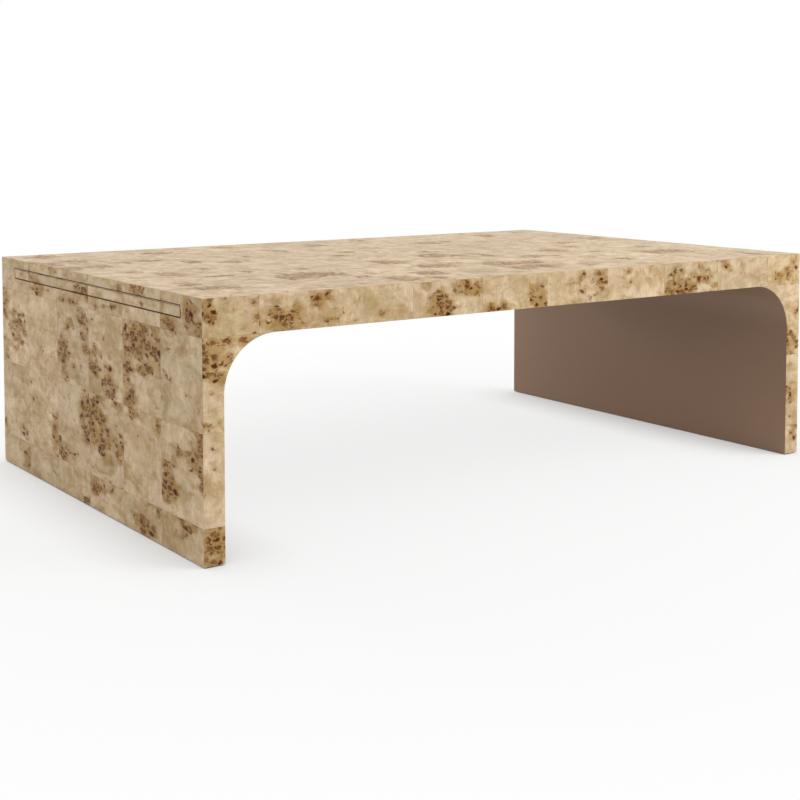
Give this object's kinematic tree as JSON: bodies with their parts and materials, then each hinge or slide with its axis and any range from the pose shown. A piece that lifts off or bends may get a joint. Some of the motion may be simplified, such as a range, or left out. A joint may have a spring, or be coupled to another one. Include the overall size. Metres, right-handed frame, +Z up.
{
  "type": "cocktail table",
  "caption": "Low rectangular waterfall table in burl veneer squares, with slab legs, a lacquered arched underside and a pull-out leaf in each end.",
  "frame": {"origin": "on the floor, under the middle of the table", "axes": "+X along the table towards the right end, +Y across it towards the back face, +Z up"},
  "size_m": [1.4224, 0.9144, 0.4318],
  "materials": {
    "burl_veneer": "pale mappa burl veneer, satin lacquer",
    "taupe_lacquer": "taupe pigmented lacquer on board, satin",
    "engineered_board": "bare plywood and fibreboard, sanded",
    "beech": "bare beech",
    "zinc_steel": "bright zinc plated",
    "black_nylon": "moulded",
    "grey_nylon": "moulded"
  },
  "bodies": {
    "carcass": {"top_board": "engineered_board", "soffit_board": "taupe_lacquer", "front_rail": "engineered_board", "back_rail": "engineered_board", "centre_ribs": "engineered_board", "carcass_tenons": "beech", "mitre_tongues": "beech", "top_veneer": "burl_veneer", "front_veneer": "burl_veneer", "back_veneer": "burl_veneer", "glides": "black_nylon", "left_outer_board": "engineered_board", "left_inner_board": "taupe_lacquer", "left_shoe": "taupe_lacquer", "left_arch_shell": "taupe_lacquer", "left_arch_ribs": "engineered_board", "left_stop_rail": "engineered_board", "left_end_veneer": "burl_veneer", "left_latch_body": "grey_nylon", "left_front_runner_rail": "engineered_board", "left_front_slide_outer": "zinc_steel", "left_back_runner_rail": "engineered_board", "left_back_slide_outer": "zinc_steel", "right_outer_board": "engineered_board", "right_inner_board": "taupe_lacquer", "right_shoe": "taupe_lacquer", "right_arch_shell": "taupe_lacquer", "right_arch_ribs": "engineered_board", "right_stop_rail": "engineered_board", "right_end_veneer": "burl_veneer", "right_latch_body": "grey_nylon", "right_front_runner_rail": "engineered_board", "right_front_slide_outer": "zinc_steel", "right_back_runner_rail": "engineered_board", "right_back_slide_outer": "zinc_steel"},
    "left_front_cage": {"left_front_ball_cage": "zinc_steel"},
    "left_back_cage": {"left_back_ball_cage": "zinc_steel"},
    "left_leaf": {"left_leaf_front": "beech", "left_leaf_board": "engineered_board", "left_leaf_veneer": "burl_veneer", "left_strike_plate": "zinc_steel", "left_front_slide_inner": "zinc_steel", "left_back_slide_inner": "zinc_steel"},
    "left_latch_pin": {"left_latch_plunger": "grey_nylon"},
    "right_front_cage": {"right_front_ball_cage": "zinc_steel"},
    "right_back_cage": {"right_back_ball_cage": "zinc_steel"},
    "right_leaf": {"right_leaf_front": "beech", "right_leaf_board": "engineered_board", "right_leaf_veneer": "burl_veneer", "right_strike_plate": "zinc_steel", "right_front_slide_inner": "zinc_steel", "right_back_slide_inner": "zinc_steel"},
    "right_latch_pin": {"right_latch_plunger": "grey_nylon"}
  },
  "joints": [
    {"name": "left_leaf_slide", "type": "slide", "parent": "carcass", "child": "left_leaf", "axis": [-1, 0, 0], "range_m": [0, 0.3048]},
    {"name": "left_front_cage_slide", "type": "slide", "parent": "carcass", "child": "left_front_cage", "axis": [-1, 0, 0], "range_m": [0, 0.1524]},
    {"name": "left_back_cage_slide", "type": "slide", "parent": "carcass", "child": "left_back_cage", "axis": [-1, 0, 0], "range_m": [0, 0.1524]},
    {"name": "left_latch_press", "type": "slide", "parent": "carcass", "child": "left_latch_pin", "axis": [1, 0, 0], "range_m": [0, 0.0025], "stiffness_N_per_m": 1500, "springref_m": -0.002},
    {"name": "right_leaf_slide", "type": "slide", "parent": "carcass", "child": "right_leaf", "axis": [1, 0, 0], "range_m": [0, 0.3048]},
    {"name": "right_front_cage_slide", "type": "slide", "parent": "carcass", "child": "right_front_cage", "axis": [1, 0, 0], "range_m": [0, 0.1524]},
    {"name": "right_back_cage_slide", "type": "slide", "parent": "carcass", "child": "right_back_cage", "axis": [1, 0, 0], "range_m": [0, 0.1524]},
    {"name": "right_latch_press", "type": "slide", "parent": "carcass", "child": "right_latch_pin", "axis": [-1, 0, 0], "range_m": [0, 0.0025], "stiffness_N_per_m": 1500, "springref_m": -0.002}
  ],
  "couplings": [
    {"joint": "left_front_cage_slide", "follows": "left_leaf_slide", "ratio": 0.5},
    {"joint": "left_back_cage_slide", "follows": "left_leaf_slide", "ratio": 0.5},
    {"joint": "right_front_cage_slide", "follows": "right_leaf_slide", "ratio": 0.5},
    {"joint": "right_back_cage_slide", "follows": "right_leaf_slide", "ratio": 0.5}
  ]
}
